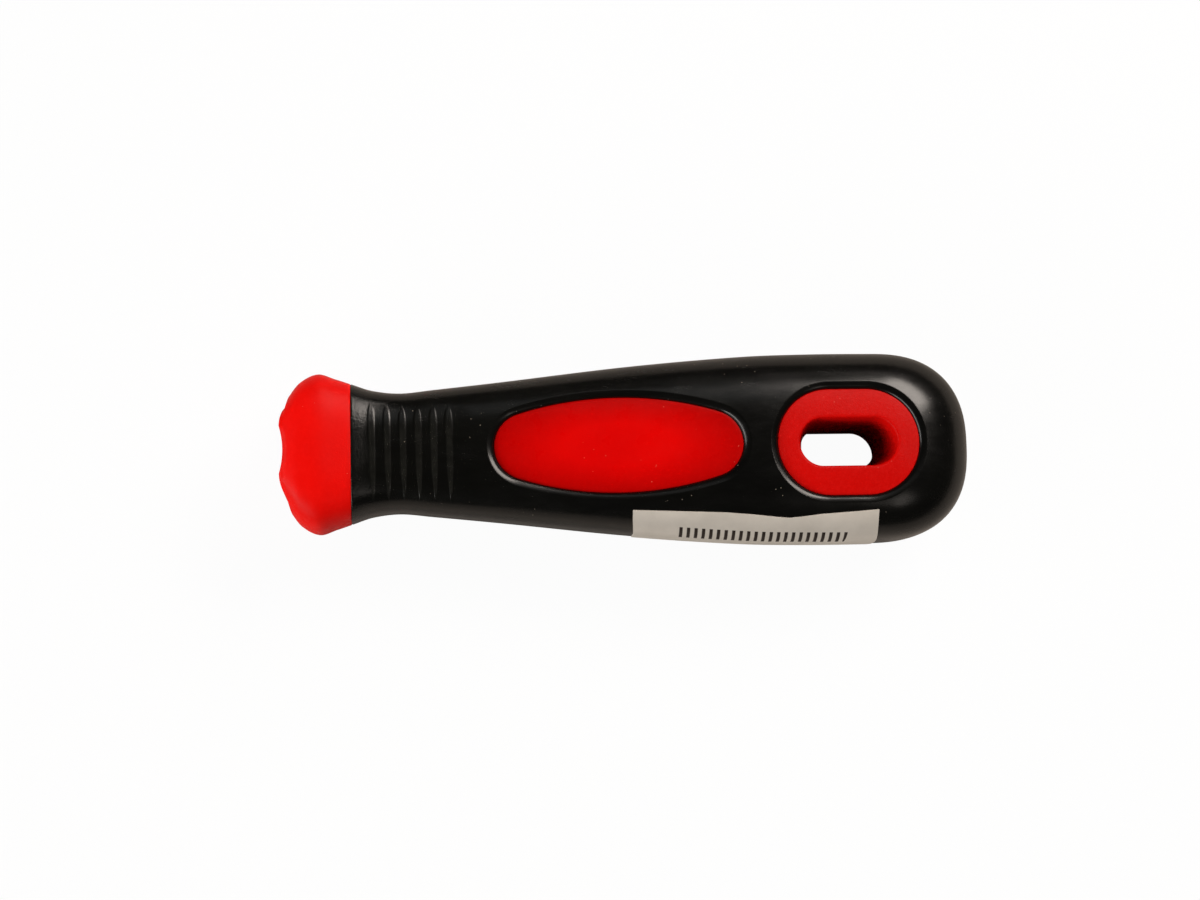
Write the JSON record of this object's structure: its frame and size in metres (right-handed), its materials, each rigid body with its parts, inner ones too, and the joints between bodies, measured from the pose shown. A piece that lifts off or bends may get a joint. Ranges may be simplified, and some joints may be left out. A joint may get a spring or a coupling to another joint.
{
  "type": "push-on tool handle",
  "caption": "Waisted push-on tool handle: hard red nose, oval windows and hanging eye under a ribbed black soft grip, with a stepped tang socket in the nose.",
  "frame": {"origin": "centre of the tang socket's mouth, on the handle's long axis and midway through its thickness", "axes": "+X from the nose to the tail, +Y across the broad face away from the labelled edge, +Z out of the broad face"},
  "size_m": [0.12, 0.0332, 0.0246],
  "materials": {
    "red_matt": "finely textured hard red plastic",
    "red_smooth": "smooth hard red plastic",
    "red_core": "plain hard red plastic, hidden",
    "black_grip": "satin soft-touch elastomer",
    "label_paper": "matt coated paper, blank"
  },
  "bodies": {
    "root": {"nose_collar": "red_matt", "core_spine": "red_core", "oval_inlay_upper": "red_smooth", "oval_inlay_lower": "red_smooth", "hang_eye": "red_matt", "grip_shell": "black_grip", "paper_label": "label_paper"}
  },
  "joints": []
}
